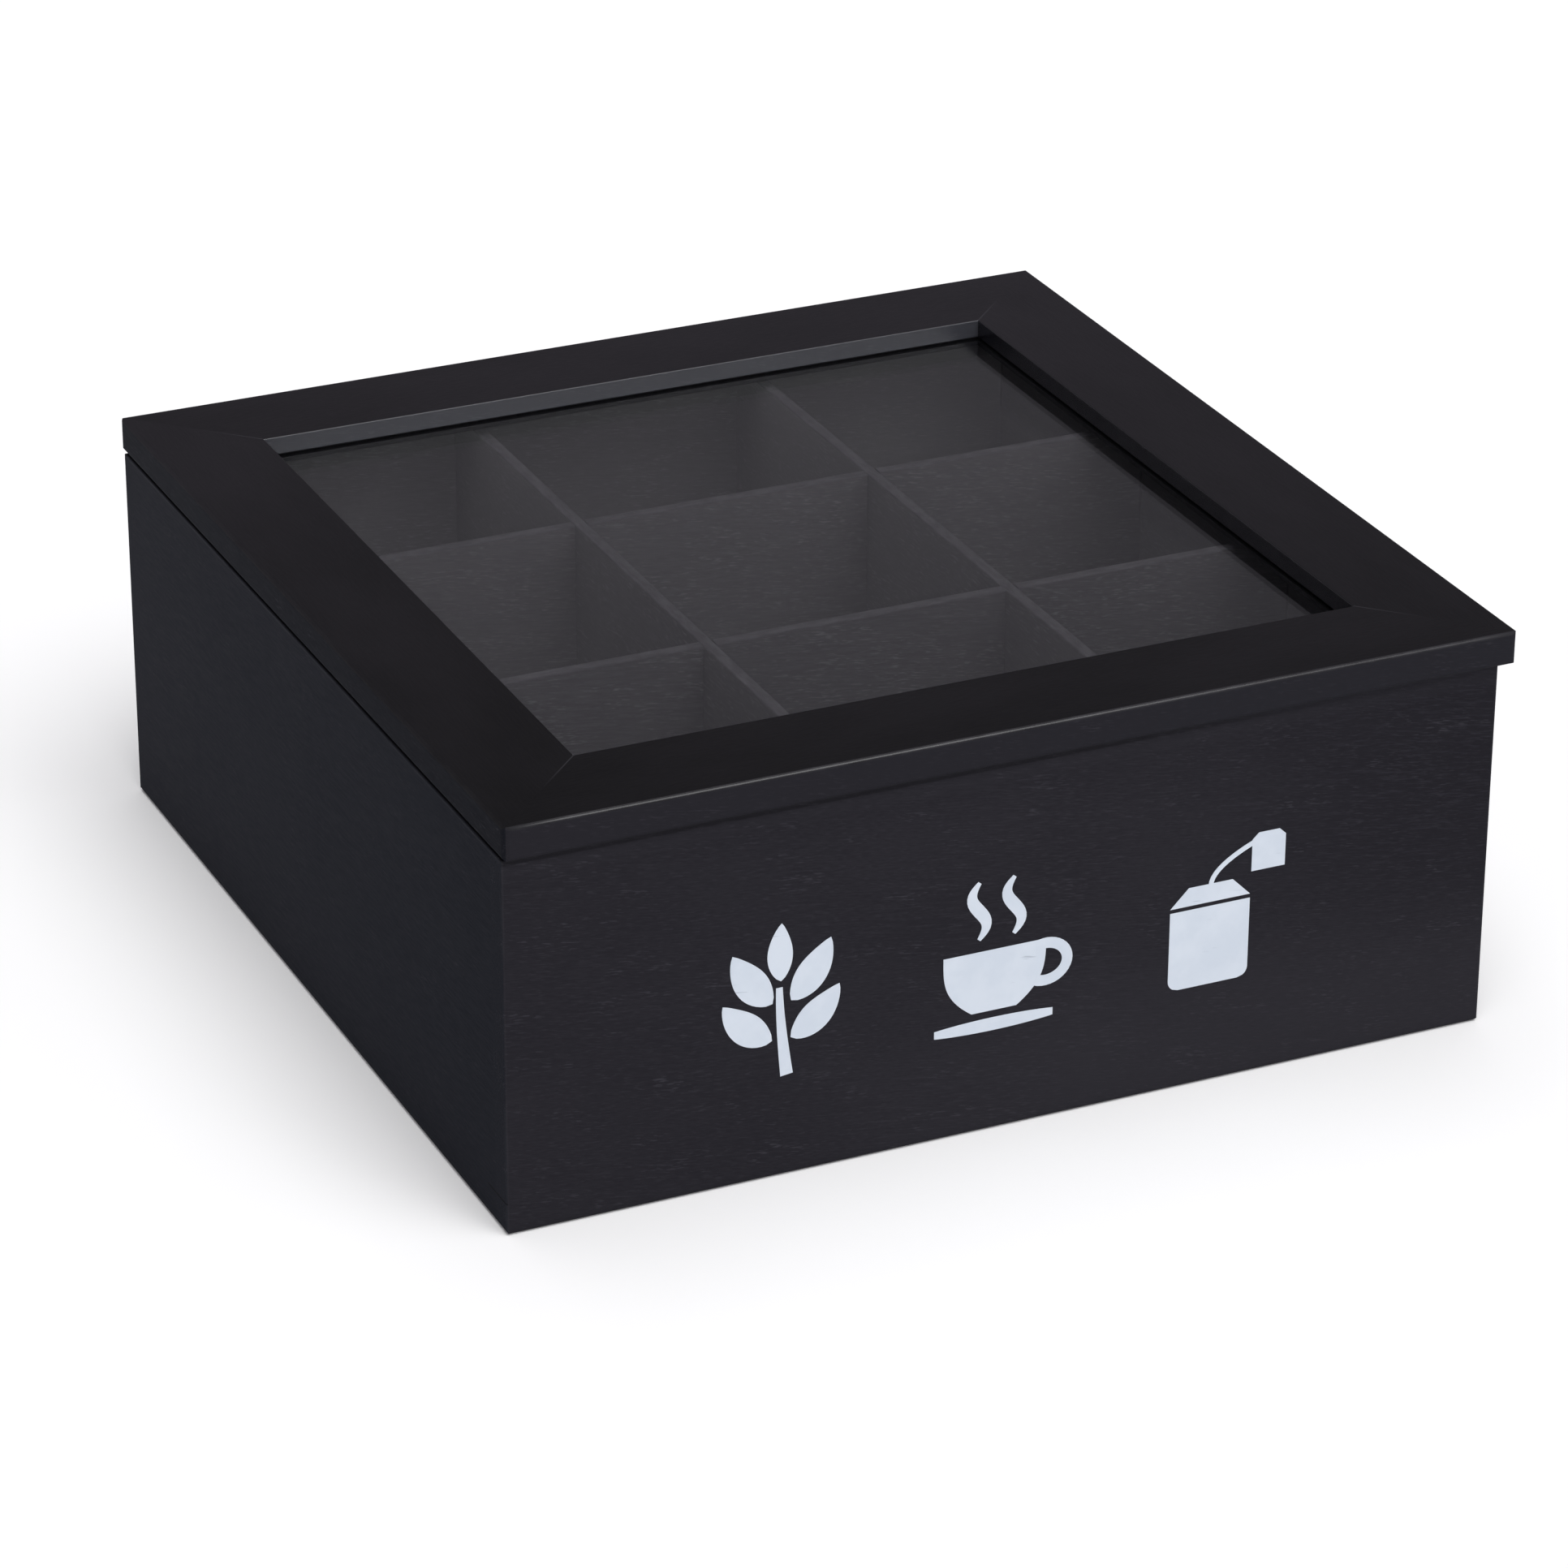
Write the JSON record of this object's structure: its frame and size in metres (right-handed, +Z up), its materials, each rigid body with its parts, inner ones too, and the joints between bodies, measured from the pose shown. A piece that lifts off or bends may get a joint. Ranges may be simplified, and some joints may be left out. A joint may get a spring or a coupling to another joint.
{
  "type": "tea bag organizer box",
  "caption": "Square black-painted wooden box that keeps tea bags on edge in a grid of compartments, under a hinged lid with a clear window.",
  "frame": {"origin": "middle of the box's footprint on the surface that it stands on", "axes": "+X to the right seen from the front, +Y to the hinged rear, +Z up"},
  "size_m": [0.2434, 0.2444, 0.0985],
  "materials": {
    "painted_board": "black satin paint over sanded board, faint horizontal grain",
    "painted_bottom": "black matt paint",
    "stained_divider": "thin black stain, the grain shows",
    "painted_lid_rail": "black satin paint, smooth",
    "painted_lid_stile": "black satin paint, smooth",
    "clear_glass": "clear, polished float glass",
    "bedding_tape": "black foam tape, matt",
    "pane_strip_board": "black stained veneer strip",
    "hinge_steel": "nickel-plated steel, satin",
    "screw_steel": "zinc-plated steel",
    "printed_ink": "pale screen-printed ink, matt"
  },
  "bodies": {
    "box": {"front_panel": "painted_board", "back_panel": "painted_board", "left_panel": "painted_board", "right_panel": "painted_board", "bottom_panel": "painted_bottom", "left_divider": "stained_divider", "right_divider": "stained_divider", "front_cross_divider": "stained_divider", "rear_cross_divider": "stained_divider", "left_hinge_box_leaf": "hinge_steel", "left_hinge_pin": "hinge_steel", "right_hinge_box_leaf": "hinge_steel", "right_hinge_pin": "hinge_steel", "box_hinge_screws": "screw_steel"},
    "lid": {"lid_front_rail": "painted_lid_rail", "lid_rear_rail": "painted_lid_rail", "lid_left_stile": "painted_lid_stile", "lid_right_stile": "painted_lid_stile", "window_pane": "clear_glass", "pane_tape": "bedding_tape", "front_pane_strip": "pane_strip_board", "rear_pane_strip": "pane_strip_board", "left_pane_strip": "pane_strip_board", "right_pane_strip": "pane_strip_board", "mitre_nails": "screw_steel", "left_hinge_lid_leaf": "hinge_steel", "right_hinge_lid_leaf": "hinge_steel", "lid_hinge_screws": "screw_steel"}
  },
  "joints": [
    {"name": "lid_hinge", "type": "hinge", "parent": "box", "child": "lid", "pos_m": [0, 0.12025, 0.09025], "axis": [-1, 0, 0], "range_deg": [0, 110]}
  ]
}
